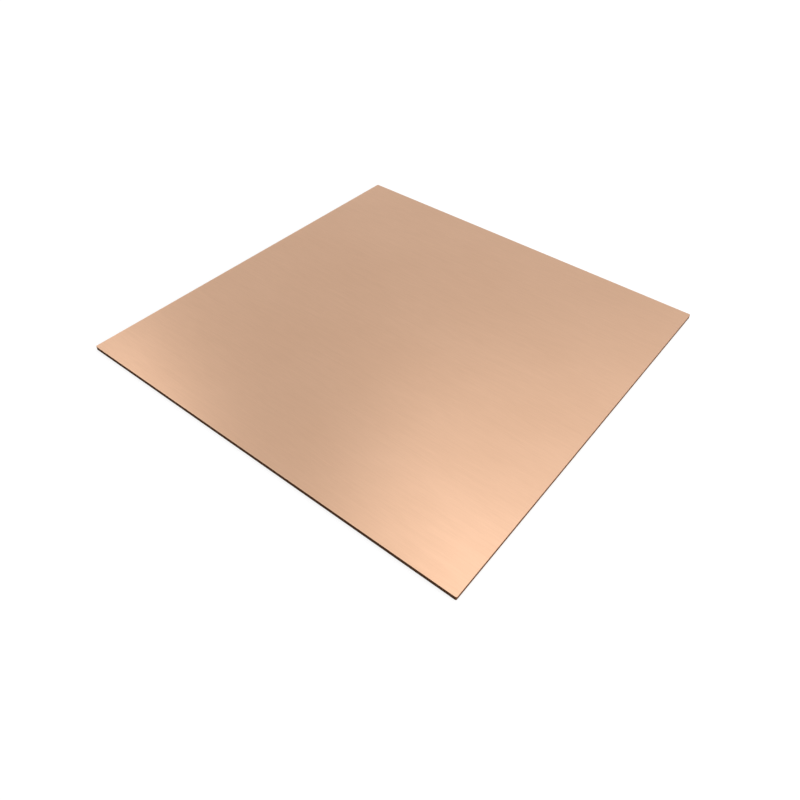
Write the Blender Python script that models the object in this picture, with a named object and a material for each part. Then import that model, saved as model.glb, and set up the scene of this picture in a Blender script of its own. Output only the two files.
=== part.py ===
"""Copper clad board: a square sheet of brown paper laminate with copper foil bonded over its upper face.

Metres, +Z up. The sheet lies flat with its copper face up, and the origin is at the middle of its underside.
"""

import bmesh
import bpy

# Driving dimensions
BOARD_LENGTH = 0.150  # along X
BOARD_WIDTH = 0.150  # along Y
BOARD_THICKNESS = 0.0015  # the whole sheet, foil included
FOIL_THICKNESS = 0.000035  # one ounce of copper to the square foot
CORNER_RADIUS = 0.0004  # the upright corners, slightly blunt as cut and handled

# What follows from them
BASE_THICKNESS = BOARD_THICKNESS - FOIL_THICKNESS
CORNER_SEGMENTS = 4


def clear_scene():
    for obj in list(bpy.data.objects):
        bpy.data.objects.remove(obj)


def finish(name, color, roughness, metallic):
    """A plain Principled material. The colour is linear."""
    material = bpy.data.materials.new(name)
    material.use_nodes = True
    shader = material.node_tree.nodes["Principled BSDF"]
    shader.inputs["Base Color"].default_value = (*color, 1.0)
    shader.inputs["Roughness"].default_value = roughness
    shader.inputs["Metallic"].default_value = metallic
    return material


def upright_edges(shape):
    """The edges that run from the underside of a sheet to its upper face."""
    return [edge for edge in shape.edges if edge.verts[0].co.z != edge.verts[1].co.z]


def sheet(name, underside, thickness, material, collection):
    """One layer of the board, cut to the board's outline, with its lower face at the height underside.

    Its mesh starts at height zero, so that a layer's lower face lies exactly where the one under it ends.
    """
    shape = bmesh.new()
    bmesh.ops.create_cube(shape, size=1.0)
    bmesh.ops.translate(shape, verts=shape.verts, vec=(0.0, 0.0, 0.5))
    bmesh.ops.scale(shape, verts=shape.verts, vec=(BOARD_LENGTH, BOARD_WIDTH, thickness))
    bmesh.ops.bevel(
        shape,
        geom=upright_edges(shape),
        offset=CORNER_RADIUS,
        segments=CORNER_SEGMENTS,
        profile=0.5,
        affect="EDGES",
    )
    mesh = bpy.data.meshes.new(name)
    shape.to_mesh(mesh)
    shape.free()
    mesh.materials.append(material)
    layer = bpy.data.objects.new(name, mesh)
    layer.location.z = underside
    collection.objects.link(layer)
    return layer


def laminate_base(collection):
    """The insulating sheet: plies of resin-soaked paper pressed into one solid."""
    brown = finish("phenolic_brown", color=(0.120, 0.057, 0.029), roughness=0.55, metallic=0.0)
    return sheet("laminate_base", 0.0, BASE_THICKNESS, brown, collection)


def copper_foil(collection):
    """The cladding, face to face with the base all over and flush with its four sides."""
    copper = finish("copper", color=(0.93, 0.588, 0.395), roughness=0.30, metallic=1.0)
    return sheet("copper_foil", BASE_THICKNESS, FOIL_THICKNESS, copper, collection)


def main():
    clear_scene()
    board = bpy.data.collections.new("copper_clad_board")
    bpy.context.scene.collection.children.link(board)
    laminate_base(board)
    copper_foil(board)


main()
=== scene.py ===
"""Copper clad board: the fine meshes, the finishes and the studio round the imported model.

Metres, +Z up. The board lies flat with its copper face up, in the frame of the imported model.
"""

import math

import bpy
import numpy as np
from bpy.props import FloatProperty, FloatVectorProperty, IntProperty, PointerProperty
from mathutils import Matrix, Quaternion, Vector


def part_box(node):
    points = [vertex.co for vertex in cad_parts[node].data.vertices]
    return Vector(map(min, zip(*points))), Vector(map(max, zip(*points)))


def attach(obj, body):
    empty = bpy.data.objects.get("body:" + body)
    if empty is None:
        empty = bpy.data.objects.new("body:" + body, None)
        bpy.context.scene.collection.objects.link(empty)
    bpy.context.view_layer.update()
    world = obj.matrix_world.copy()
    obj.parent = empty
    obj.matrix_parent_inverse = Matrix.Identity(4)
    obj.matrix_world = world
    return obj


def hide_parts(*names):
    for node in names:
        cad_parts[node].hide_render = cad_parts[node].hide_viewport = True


bl_info = {
    "name": "Copper Clad Board",
    "version": (1, 0, 0),
    "blender": (4, 5, 0),
    "location": "3D View > Sidebar > Board",
    "description": "Makes the foil and the paper laminate of a copper clad board, and sets a studio round it",
    "category": "Object",
}

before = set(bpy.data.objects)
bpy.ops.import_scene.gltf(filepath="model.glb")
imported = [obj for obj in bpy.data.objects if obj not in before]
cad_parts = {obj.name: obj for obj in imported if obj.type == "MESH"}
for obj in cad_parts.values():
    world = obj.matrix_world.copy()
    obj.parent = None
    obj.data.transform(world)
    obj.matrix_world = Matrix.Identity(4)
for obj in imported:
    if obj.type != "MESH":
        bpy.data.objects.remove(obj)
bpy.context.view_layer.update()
FOIL_LOW, FOIL_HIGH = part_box("copper_foil")
BASE_LOW, BASE_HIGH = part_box("laminate_base")
HALF_SIZE = np.array(FOIL_HIGH)[:2]
MICROMETRE = 1e-6
MILLIMETRE = 1e-3
GOLDEN_ANGLE = math.pi * (3 - math.sqrt(5))

# The foil's mesh and noise. A noise's pitch is in metres along X, Y and Z.
RIPPLE_WAVES = 9
WAVE_RATIO = 0.78  # each wave's length over that of the wave before
RIM_INSETS = (0.0, 0.01, 0.03, 0.08, 0.2, 0.45)  # of the mesh lines by the cut edge, in corner radii
FOIL_SMOOTH = math.radians(50)
CLOUD_PITCH = (0.041, 0.030, 0.037)

# The laminate's mesh and noise
CORNER_POINTS = 8  # of each corner's quarter circle
EASE_POINTS = 4  # of the eased edge's quarter circle
FLAT_INSET = 4  # of the ring where the underside's fan begins, in radii of the eased edge
GROOVE_POWER = 6  # the higher, the narrower the grooves between the plies
SAW_SLANT = 0.6  # how far a saw mark leans along the edge for each unit of height
FINE_MARKS = 2.37  # finer saw marks to each coarse one
LAMINATE_SMOOTH = math.radians(40)
FIBRE_PITCH = (0.0022, 0.0006, 0.0006)
STRAND_PITCH = (0.0025, 0.0025, 0.00007)
PATCH_PITCH = (0.016, 0.011, 0.011)
WOBBLE_PITCH = (0.004, 0.004, 0.004)

# The studio
FLOOR_REACH = 8.0
FLOOR_GAP = 20 * MICROMETRE
SOFTBOXES = (
    # name, place, aimed at, turn in degrees, width, depth, brightness, and whether metal mirrors it
    ("overhead_softbox", (0.315, 0.63, 0.75), (0.315, 0.63, 0.0), -45, 1.10, 1.20, 0.35, True),
    ("rear_softbox", (-0.041, 0.209, 0.875), (0.0, 0.0, 0.0), 0, 0.605, 0.605, 0.54, True),
    ("left_softbox", (-0.643, 0.137, 0.615), (0.0, 0.0, 0.0), 0, 0.211, 0.211, 0.96, True),
    ("right_strip_lamp", (1.034, 0.182, 0.120), (0.0, 0.0, 0.0), 0, 1.05, 0.21, 22.0, False),
    ("overhead_fill", (0.0, 0.0, 1.125), (0.0, 0.0, 0.0), 0, 1.2, 1.2, 0.7, False),
)


# Shader maths


class Term:
    """A socket in Python arithmetic: each operation adds its Math node to the socket's recipe."""

    def __init__(self, recipe, socket):
        self.recipe = recipe
        self.socket = socket

    def maths(self, operation, *values):
        made = self.recipe.node("ShaderNodeMath", {"operation": operation}, dict(enumerate(values)))
        return Term(self.recipe, made.outputs[0])

    def __add__(self, other):
        return self.maths("ADD", self, other)

    __radd__ = __add__

    def __sub__(self, other):
        return self.maths("SUBTRACT", self, other)

    def __rsub__(self, other):
        return self.maths("SUBTRACT", other, self)

    def __mul__(self, other):
        return self.maths("MULTIPLY", self, other)

    __rmul__ = __mul__

    def __truediv__(self, other):
        return self.maths("DIVIDE", self, other)

    def __rtruediv__(self, other):
        return self.maths("DIVIDE", other, self)

    def __pow__(self, power):
        return self.maths("POWER", self, power)

    def size(self):
        return self.maths("ABSOLUTE", self)

    def cosine(self):
        return self.maths("COSINE", self)

    def between(self, low, high):
        """This value held between two others."""
        return self.maths("MINIMUM", self.maths("MAXIMUM", self, low), high)

    def step(self, low, high):
        """0 below low, 1 above high and a straight line between them. High may be the lower of the two."""
        return ((self - low) / (high - low)).between(0.0, 1.0)


class Recipe:
    """A node tree, filled by expressions."""

    def __init__(self, tree):
        self.tree = tree

    def node(self, kind, settings=None, inputs=None):
        """A new node of a kind. Its settings come first, then the values or links of its sockets."""
        made = self.tree.nodes.new(kind)
        for name, value in (settings or {}).items():
            setattr(made, name, value)
        for name, value in (inputs or {}).items():
            self.feed(made.inputs[name], value)
        return made

    def feed(self, socket, value):
        """Links a Term or a socket to this socket, or sets its own value."""
        if isinstance(value, Term):
            value = value.socket
        if isinstance(value, bpy.types.NodeSocket):
            self.tree.links.new(value, socket)
        else:
            socket.default_value = value

    def place(self):
        """The point in the object's own coordinates, in metres."""
        return self.node("ShaderNodeTexCoord").outputs["Object"]

    def axis(self, vector, name):
        return Term(self, self.node("ShaderNodeSeparateXYZ", None, {"Vector": vector}).outputs[name])

    def noise(self, point, pitch, detail=2.0, roughness=0.5):
        """Soft noise from 0 to 1 whose features are about pitch apart, in metres along each axis."""
        scale = [1 / length for length in pitch]
        stretched = self.node("ShaderNodeMapping", None, {"Vector": point, "Scale": scale})
        kept = {"Vector": stretched.outputs[0], "Scale": 1.0, "Detail": detail, "Roughness": roughness}
        return Term(self, self.node("ShaderNodeTexNoise", None, kept).outputs[0])

    def blend(self, share, first, second):
        """The first colour where share is 0 and the second where it is 1."""
        made = self.node("ShaderNodeMix", {"data_type": "RGBA"}, {0: share, 6: first, 7: second})
        return made.outputs[2]

    def relief(self, height, depth):
        """The normal over a relief whose height runs from 0 to 1 and stands for depth, in metres."""
        return self.node("ShaderNodeBump", None, {"Height": height, "Distance": depth}).outputs[0]


def new_finish(name):
    """A new material, its recipe and its Principled shader."""
    material = bpy.data.materials.new(name)
    material.use_nodes = True
    return material, Recipe(material.node_tree), material.node_tree.nodes["Principled BSDF"]


def opaque(color):
    return (*color, 1.0)


# Meshes


def new_piece(name, points, faces, smooth_up_to):
    """A piece from arrays of points and of faces, smooth up to an angle between two faces."""
    mesh = bpy.data.meshes.new(name)
    mesh.from_pydata(points, [], [row for block in faces for row in block.tolist()])
    mesh.shade_smooth()
    mesh.set_sharp_from_angle(angle=smooth_up_to)
    piece = bpy.data.objects.new(name, mesh)
    bpy.context.scene.collection.objects.link(piece)
    return piece


def dress(piece, material, node):
    """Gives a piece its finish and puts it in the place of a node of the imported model."""
    piece.data.materials.append(material)
    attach(piece, "root")
    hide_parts(node)


def quads(ids):
    """The quads of a grid of point numbers, in the order that makes rows by columns face out of the paper."""
    return np.stack([ids[:-1, :-1], ids[:-1, 1:], ids[1:, 1:], ids[1:, :-1]], axis=-1).reshape(-1, 4)


def grid_lines(half, corner, edge_lines, spacing):
    """Places along one side: at the given insets by the cut edges, and evenly spaced between them."""
    inner = half - corner
    count = max(2, round(2 * inner / spacing))
    middle = np.linspace(-inner, inner, count + 1)
    outer = half - np.asarray(edge_lines) * corner
    return np.concatenate([-outer, middle, outer[::-1]])


def round_corners(x, y, half, corner):
    """Moves the points of each corner's square onto a quarter disc.

    A point's larger share of the corner's square is its radius, and the ratio of the two shares is its angle.
    """
    over = np.stack([np.abs(x) - (half[0] - corner), np.abs(y) - (half[1] - corner)]) / corner
    inside = (over > 0).all(axis=0)
    a, b = np.where(inside, over, 1.0)
    radius = np.maximum(a, b)
    angle = np.where(a >= b, math.pi / 4 * b / a, math.pi / 2 - math.pi / 4 * a / b)
    new_x = np.sign(x) * (half[0] - corner + corner * radius * np.cos(angle))
    new_y = np.sign(y) * (half[1] - corner + corner * radius * np.sin(angle))
    return np.where(inside, new_x, x), np.where(inside, new_y, y), np.where(inside, radius, 0.0)


def pressed_ripple(x, y, longest, waves):
    """The height of the pressed face, from 0 down to -1.

    It is a sum of plane waves, each weighed by its length. Each is shorter than the last by one ratio, and
    turned from it by the golden angle.
    """
    height = np.zeros_like(x)
    total = 0.0
    for number in range(waves):
        turn = number * GOLDEN_ANGLE
        length = longest * WAVE_RATIO**number
        weight = length / longest
        across = x * math.cos(turn) + y * math.sin(turn)
        height += weight * np.sin(2 * math.pi * across / length + number**2)
        total += weight
    return (height / total - 1) / 2


def outline(half, corner, pitch, corner_points):
    """The board's outline, anticlockwise: points, outward normals and the length run to each.

    Each side is a straight run of evenly spaced points, followed by its corner's quarter circle.
    """
    points, normals = [], []
    for side in range(4):
        turn = side * math.pi / 2
        across, along = (half if side % 2 == 0 else half[::-1]) - corner
        run = np.linspace(-across, across, max(2, round(2 * across / pitch)), endpoint=False)
        angle = np.linspace(-math.pi / 2, 0, corner_points, endpoint=False)
        x = np.concatenate([run, across + corner * np.cos(angle)])
        y = np.concatenate([np.full_like(run, -along - corner), -along + corner * np.sin(angle)])
        nx = np.concatenate([np.zeros_like(run), np.cos(angle)])
        ny = np.concatenate([np.full_like(run, -1.0), np.sin(angle)])
        c, s = math.cos(turn), math.sin(turn)
        points.append(np.stack([x * c - y * s, x * s + y * c], axis=1))
        normals.append(np.stack([nx * c - ny * s, nx * s + ny * c], axis=1))
    points = np.concatenate(points)
    run = np.concatenate([[0.0], np.cumsum(np.linalg.norm(np.diff(points, axis=0), axis=1))])
    return points, np.concatenate(normals), run


class FoilSettings(bpy.types.PropertyGroup):
    """The copper foil."""

    bright: FloatVectorProperty(
        name="Bright copper", description="Copper on the crests of the rolling lines",
        subtype="COLOR", size=3, min=0, max=1, default=(0.98, 0.626, 0.426),
    )
    dull: FloatVectorProperty(
        name="Dull copper", description="Copper in the rolling lines and in the soft clouds",
        subtype="COLOR", size=3, min=0, max=1, default=(0.88, 0.550, 0.364),
    )
    roughness: FloatProperty(
        name="Roughness", description="Blur of what the face mirrors",
        subtype="FACTOR", min=0, max=1, default=0.30,
    )
    corner: FloatProperty(
        name="Corner radius", description="Radius of the upright corners", unit="LENGTH", min=0.0,
        default=0.4 * MILLIMETRE,
    )
    spacing: FloatProperty(
        name="Grid spacing", description="Distance between the mesh lines of the face",
        unit="LENGTH", min=0.0, default=1.5 * MILLIMETRE,
    )
    ripple_depth: FloatProperty(
        name="Ripple depth", description="Depth of the ripple that the press leaves", unit="LENGTH", min=0.0,
        default=7 * MICROMETRE,
    )
    ripple_length: FloatProperty(
        name="Ripple length", description="Longest wave of the pressed ripple", unit="LENGTH", min=0.001,
        default=35 * MILLIMETRE,
    )
    lip: FloatProperty(
        name="Sheared lip", description="How far the cutter has drawn the foil down at the edge",
        unit="LENGTH", min=0.0, default=14 * MICROMETRE,
    )
    grain_width: FloatProperty(
        name="Grain width", description="Distance between the rolling lines", unit="LENGTH", min=0.0,
        default=0.12 * MILLIMETRE,
    )
    grain_depth: FloatProperty(
        name="Grain depth", description="Depth of the rolling lines", unit="LENGTH", min=0.0,
        default=1.1 * MICROMETRE,
    )


class LaminateSettings(bpy.types.PropertyGroup):
    """The paper laminate under the foil."""

    color: FloatVectorProperty(
        name="Resin brown", description="Resin-soaked paper", subtype="COLOR", size=3, min=0, max=1,
        default=(0.140, 0.066, 0.034),
    )
    dark: FloatVectorProperty(
        name="Dark brown", description="Resin between the plies", subtype="COLOR", size=3, min=0, max=1,
        default=(0.056, 0.026, 0.013),
    )
    plies: IntProperty(name="Plies", description="Sheets of paper pressed together", min=1, default=9)
    ply_groove: FloatProperty(
        name="Ply groove", description="Depth between two plies at the cut edge", unit="LENGTH", min=0.0,
        default=8 * MICROMETRE,
    )
    tooth_pitch: FloatProperty(
        name="Saw pitch", description="Distance between the marks on the cut edge", unit="LENGTH", min=0.0,
        default=1.4 * MILLIMETRE,
    )
    tooth_depth: FloatProperty(
        name="Saw depth", description="Depth of the marks on the cut edge", unit="LENGTH", min=0.0,
        default=7 * MICROMETRE,
    )
    eased: FloatProperty(
        name="Eased edge", description="Radius of the edge round the underside", unit="LENGTH", min=0.0,
        default=60 * MICROMETRE,
    )
    edge_pitch: FloatProperty(
        name="Edge pitch", description="Distance between mesh points along the cut edge",
        unit="LENGTH", min=0.0, default=0.4 * MILLIMETRE,
    )
    edge_rows: IntProperty(name="Rows to a ply", description="Mesh rows in each ply", min=2, default=3)
    fibre_depth: FloatProperty(
        name="Fibre depth", description="Depth of the relief that the paper's fibres leave", unit="LENGTH",
        min=0.0, default=8 * MICROMETRE,
    )


class StageSettings(bpy.types.PropertyGroup):
    """The studio and the camera."""

    eye: FloatVectorProperty(
        name="Eye", description="Where the camera stands", subtype="XYZ", unit="LENGTH", size=3,
        default=(0.11750, -0.15765, 0.16001),
    )
    aim: FloatVectorProperty(
        name="Aim", description="The point of the copper face at the picture's middle", subtype="XYZ",
        unit="LENGTH", size=3, default=(0.02059, -0.02910, 0.0015),
    )
    roll: FloatProperty(
        name="Roll", description="How far the camera leans to its left", subtype="ANGLE",
        default=math.radians(2.02),
    )
    view_angle: FloatProperty(
        name="View angle", description="Across the square picture", subtype="ANGLE",
        default=math.radians(58.869),
    )
    floor_color: FloatVectorProperty(
        name="Floor", description="The pale floor", subtype="COLOR", size=3, min=0, max=1,
        default=(0.28, 0.28, 0.28),
    )
    floor_glow: FloatProperty(
        name="Floor glow", description="What the far floor adds for the eye alone, to show white", min=0.0,
        default=0.885,
    )
    lamp_share: FloatProperty(
        name="Lamp share", description="What the lamps add to the floor under the board, taken off its glow",
        min=0.0, default=0.12,
    )
    lamp_height: FloatProperty(
        name="Lamp height", description="Distance at which the lamps' share has fallen to a quarter",
        unit="LENGTH", min=0.1, default=0.9,
    )
    ceiling: FloatProperty(
        name="Ceiling", description="Brightness of the room overhead", min=0.0, default=0.50,
    )
    ceiling_from: FloatProperty(
        name="Ceiling from", description="Height of a direction, from 0 to 1, where the white wall ends",
        min=0.01, max=1.0, default=0.95,
    )


# Operators


class BOARD_OT_copper_foil(bpy.types.Operator):
    """Make the copper foil: a thin closed sheet, faintly rippled, with its rim drawn down by the cutter"""

    bl_idname = "board.copper_foil"
    bl_label = "Copper Foil"

    def execute(self, context):
        settings = context.scene.board_foil
        piece = self.sheet(settings)
        dress(piece, self.finish(settings), "copper_foil")
        return {"FINISHED"}

    def sheet(self, settings):
        """Two grids, the face and the back, joined round their rims by the cut edge.

        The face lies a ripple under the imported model's top, and falls away at the rim by a quarter circle.
        """
        lines = [grid_lines(half, settings.corner, RIM_INSETS, settings.spacing) for half in HALF_SIZE]
        x, y = np.meshgrid(*lines)
        x, y, share = round_corners(x, y, HALF_SIZE, settings.corner)
        straight = np.minimum(HALF_SIZE[0] - np.abs(x), HALF_SIZE[1] - np.abs(y))
        inset = np.where(share > 0, (1 - share) * settings.corner, straight)
        fall = np.clip(1 - inset / settings.lip, 0, 1)
        lip = settings.lip * (1 - np.sqrt(1 - fall**2))
        ripple = pressed_ripple(x, y, settings.ripple_length, RIPPLE_WAVES)
        top = FOIL_HIGH.z + settings.ripple_depth * ripple - lip
        back = np.full_like(x, FOIL_LOW.z)
        points = np.stack([np.stack([x, y, z], axis=-1).reshape(-1, 3) for z in (top, back)]).reshape(-1, 3)
        face = np.arange(x.size).reshape(x.shape)
        under = face + x.size
        rim = np.concatenate([face[0, :-1], face[:-1, -1], face[-1, :0:-1], face[:0:-1, 0]])
        rim = np.append(rim, rim[0])
        edge = np.stack([rim + x.size, rim])
        faces = [quads(face), quads(under)[:, ::-1], quads(edge)]
        return new_piece("foil_sheet", points, faces, FOIL_SMOOTH)

    def finish(self, settings):
        """Satin copper: fine rolling lines along X under broader streaks and soft clouds.

        Lines, streaks and clouds each add their distance from a half, times a weight, to the dullness.
        """
        material, recipe, shader = new_finish("satin_copper")
        point = recipe.place()
        width = settings.grain_width
        line = recipe.noise(point, (45 * width, width, width), detail=4.0, roughness=0.7)
        streak = recipe.noise(point, (90 * width, 6 * width, width), detail=2.0)
        cloud = recipe.noise(point, CLOUD_PITCH, detail=3.0)
        pit = recipe.noise(point, (3 * width, 1.6 * width, width), detail=2.0)
        dulled = (0.5 + (line - 0.5) * 1.5 + (streak - 0.5) * 0.5 + (cloud - 0.5) * 0.9).between(0.0, 1.0)
        color = recipe.blend(dulled, opaque(settings.bright), opaque(settings.dull))
        recipe.feed(shader.inputs["Base Color"], color)
        blur = settings.roughness + (streak - 0.5) * 0.05 + (cloud - 0.5) * 0.04
        recipe.feed(shader.inputs["Roughness"], blur)
        shader.inputs["Metallic"].default_value = 1.0
        recipe.feed(shader.inputs["Normal"], recipe.relief(line * 0.7 + pit * 0.3, settings.grain_depth))
        return material


class BOARD_OT_laminate_base(bpy.types.Operator):
    """Make the paper laminate: the flat underside and the cut edge, with its plies and saw marks"""

    bl_idname = "board.laminate_base"
    bl_label = "Laminate Base"

    def execute(self, context):
        settings = context.scene.board_laminate
        corner = context.scene.board_foil.corner
        piece = self.sheet(settings, corner)
        dress(piece, self.finish(settings), "laminate_base")
        return {"FINISHED"}

    def sheet(self, settings, corner):
        """A profile carried round the outline, closed by a fan to the middle of each face.

        The profile starts on the flat underside, rises by an eased quarter circle and goes up the cut edge.
        There it is pushed in, never out, by a groove between each two plies and by saw marks. A mark is a
        sine of the length run, leaning with height and bent by two slower sines, with a finer one over it.
        """
        ring, normals, run = outline(HALF_SIZE, corner, settings.edge_pitch, CORNER_POINTS)
        thickness = BASE_HIGH.z - BASE_LOW.z
        angle = np.linspace(0, math.pi / 2, EASE_POINTS, endpoint=False)
        rise = np.linspace(settings.eased, thickness, settings.plies * settings.edge_rows + 1)
        height = np.concatenate([[0.0], settings.eased * (1 - np.cos(angle)), rise])
        curve = settings.eased * (1 - np.sin(angle))
        ease = np.concatenate([[FLAT_INSET * settings.eased], curve, np.zeros_like(rise)])
        ply = height * settings.plies / thickness
        groove = settings.ply_groove * np.abs(np.cos(math.pi * ply)) ** GROOVE_POWER
        slant = (run[None, :] + SAW_SLANT * height[:, None]) * 2 * math.pi / settings.tooth_pitch
        wander = 1.3 * np.sin(slant / 7.3) + 0.8 * np.sin(slant / 3.1 + 1.0)
        coarse = np.sin(slant + wander)
        fine = np.sin(FINE_MARKS * slant + 2 * wander)
        marks = settings.tooth_depth * (0.5 + 0.25 * coarse + 0.25 * fine)
        cut = np.where(height[:, None] >= settings.eased, 1.0, 0.0)
        inward = ease[:, None] + groove[:, None] * cut + marks
        flat = ring[None] - normals[None] * inward[:, :, None]
        levels = np.broadcast_to(BASE_LOW.z + height[:, None], inward.shape)
        points = np.concatenate([flat, levels[:, :, None]], axis=2).reshape(-1, 3)
        ids = np.arange(len(points)).reshape(inward.shape)
        wall = quads(np.concatenate([ids, ids[:, :1]], axis=1))
        middles = np.array([[0.0, 0.0, BASE_LOW.z], [0.0, 0.0, BASE_HIGH.z]])
        first, last = ids[0], ids[-1]
        under = np.stack([np.full_like(first, len(points)), np.roll(first, -1), first], axis=1)
        top = np.stack([np.full_like(last, len(points) + 1), last, np.roll(last, -1)], axis=1)
        points = np.concatenate([points, middles])
        return new_piece("laminate_sheet", points, [wall, under, top], LAMINATE_SMOOTH)

    def finish(self, settings):
        """Resin-soaked paper: fibres over the faces, and dark lines between the plies at the cut edge."""
        material, recipe, shader = new_finish("phenolic_paper")
        point = recipe.place()
        normal = recipe.node("ShaderNodeNewGeometry").outputs["Normal"]
        face = recipe.axis(normal, "Z").size().step(0.5, 0.8)
        fibre = recipe.noise(point, FIBRE_PITCH, detail=4.0, roughness=0.65)
        strand = recipe.noise(point, STRAND_PITCH, detail=3.0, roughness=0.6)
        patch = recipe.noise(point, PATCH_PITCH, detail=3.0)
        thickness = BASE_HIGH.z - BASE_LOW.z
        wobble = recipe.noise(point, WOBBLE_PITCH) * 0.35
        ply = recipe.axis(point, "Z") * (settings.plies / thickness) + wobble
        line = ((ply * (2 * math.pi)).cosine() * 0.5 + 0.5) ** 4
        edge_dark = line * 0.6 + (strand - 0.5) * 0.7 + 0.3
        face_dark = (fibre - 0.5) * 0.5 + (patch - 0.5) * 0.5 + 0.2
        dark = (edge_dark * (1 - face) + face_dark * face).between(0.0, 1.0)
        color = recipe.blend(dark, opaque(settings.color), opaque(settings.dark))
        recipe.feed(shader.inputs["Base Color"], color)
        recipe.feed(shader.inputs["Roughness"], 0.85 - face * 0.4 + (fibre - 0.5) * 0.12)
        shader.inputs["Specular IOR Level"].default_value = 0.03
        height = strand * (1 - face) + fibre * face
        recipe.feed(shader.inputs["Normal"], recipe.relief(height, settings.fibre_depth))
        return material


class BOARD_OT_stage(bpy.types.Operator):
    """Set the pale floor, the soft light and the camera"""

    bl_idname = "board.stage"
    bl_label = "Studio Stage"

    def execute(self, context):
        settings = context.scene.board_stage
        self.floor(settings)
        self.room(context, settings)
        for row in SOFTBOXES:
            self.softbox(*row)
        self.camera(context, settings)
        context.scene.view_settings.view_transform = "Standard"
        return {"FINISHED"}

    def floor(self, settings):
        """A wide plane just under the board. It adds light for the eye and for mirrors alone, to show white.

        The lamps' light on the floor falls by the square of one plus the squared distance, in lamp heights.
        The glow makes up for it.
        """
        corners = np.array([[-1, -1], [1, -1], [1, 1], [-1, 1]]) * FLOOR_REACH
        points = np.column_stack([corners, np.full(4, BASE_LOW.z - FLOOR_GAP)])
        floor = new_piece("studio_floor", points, [np.arange(4)[None]], 0.0)
        material, recipe, shader = new_finish("pale_floor")
        seen = self.seen(recipe)
        shader.inputs["Base Color"].default_value = opaque(settings.floor_color)
        shader.inputs["Roughness"].default_value = 1.0
        shader.inputs["Specular IOR Level"].default_value = 0.0
        shader.inputs["Emission Color"].default_value = opaque((1.0, 1.0, 1.0))
        length = recipe.node("ShaderNodeVectorMath", {"operation": "LENGTH"}, {0: recipe.place()})
        distance = Term(recipe, length.outputs["Value"]) / settings.lamp_height
        glow = settings.floor_glow - settings.lamp_share / (1 + distance**2) ** 2
        recipe.feed(shader.inputs["Emission Strength"], seen * glow)
        floor.data.materials.append(material)

    def seen(self, recipe):
        """1 for rays from the eye, from mirrors or through glass, and 0 for light that falls on things."""
        path = recipe.node("ShaderNodeLightPath").outputs
        kinds = ("Is Camera Ray", "Is Glossy Ray", "Is Transmission Ray")
        eye, mirror, glass = (Term(recipe, path[kind]) for kind in kinds)
        return (eye + mirror + glass).between(0.0, 1.0)

    def room(self, context, settings):
        """White walls that darken by a square law up to a plain ceiling."""
        world = bpy.data.worlds.new("studio_room")
        world.use_nodes = True
        context.scene.world = world
        recipe = Recipe(world.node_tree)
        direction = recipe.node("ShaderNodeTexCoord").outputs["Generated"]
        height = recipe.axis(direction, "Z")
        wall = (1 - height / settings.ceiling_from).between(0.0, 1.0)
        light = settings.ceiling + (1 - settings.ceiling) * wall**2
        background = world.node_tree.nodes["Background"]
        background.inputs["Color"].default_value = opaque((1.0, 1.0, 1.0))
        recipe.feed(background.inputs["Strength"], light)

    def softbox(self, name, place, aim, turn, width, depth, brightness, mirrored):
        """A rectangular lamp, aimed at a point and turned about its axis, as bright as a mirror shows it."""
        light = bpy.data.lights.new(name, "AREA")
        light.shape = "RECTANGLE"
        light.size = width
        light.size_y = depth
        light.energy = brightness * math.pi * width * depth
        lamp = bpy.data.objects.new(name, light)
        bpy.context.scene.collection.objects.link(lamp)
        lamp.visible_camera = False
        lamp.visible_glossy = mirrored
        lamp.location = place
        lamp.rotation_mode = "QUATERNION"
        facing = (Vector(aim) - Vector(place)).to_track_quat("-Z", "Y")
        lamp.rotation_quaternion = facing @ Quaternion((0, 0, 1), math.radians(turn))

    def camera(self, context, settings):
        """The camera of the photograph, fitted to the board's four edges."""
        data = bpy.data.cameras.new("camera")
        data.sensor_width = 36.0
        data.angle = settings.view_angle
        data.clip_start = 0.001
        camera = bpy.data.objects.new("camera", data)
        context.scene.collection.objects.link(camera)
        eye, aim = Vector(settings.eye), Vector(settings.aim)
        camera.location = eye
        camera.rotation_mode = "QUATERNION"
        turn = (aim - eye).to_track_quat("-Z", "Y")
        camera.rotation_quaternion = turn @ Quaternion((0, 0, 1), settings.roll)
        context.scene.camera = camera


class BOARD_PT_sidebar(bpy.types.Panel):
    """The board's steps and sizes"""

    bl_label = "Copper Clad Board"
    bl_space_type = "VIEW_3D"
    bl_region_type = "UI"
    bl_category = "Board"

    def draw(self, context):
        for operator, group in STEPS:
            box = self.layout.box()
            box.operator(operator.bl_idname)
            settings = getattr(context.scene, group)
            for name in settings.bl_rna.properties.keys():
                if name not in ("rna_type", "name"):
                    box.prop(settings, name)


STEPS = (
    (BOARD_OT_laminate_base, "board_laminate"),
    (BOARD_OT_copper_foil, "board_foil"),
    (BOARD_OT_stage, "board_stage"),
)
GROUPS = {"board_laminate": LaminateSettings, "board_foil": FoilSettings, "board_stage": StageSettings}
CLASSES = (*GROUPS.values(), *(operator for operator, group in STEPS), BOARD_PT_sidebar)


def register():
    for cls in CLASSES:
        bpy.utils.register_class(cls)
    for name, group in GROUPS.items():
        setattr(bpy.types.Scene, name, PointerProperty(type=group))


def unregister():
    for name in GROUPS:
        delattr(bpy.types.Scene, name)
    for cls in reversed(CLASSES):
        bpy.utils.unregister_class(cls)


def main():
    register()
    bpy.ops.board.laminate_base()
    bpy.ops.board.copper_foil()
    bpy.ops.board.stage()
    bpy.context.view_layer.update()


if __name__ == "__main__":
    main()
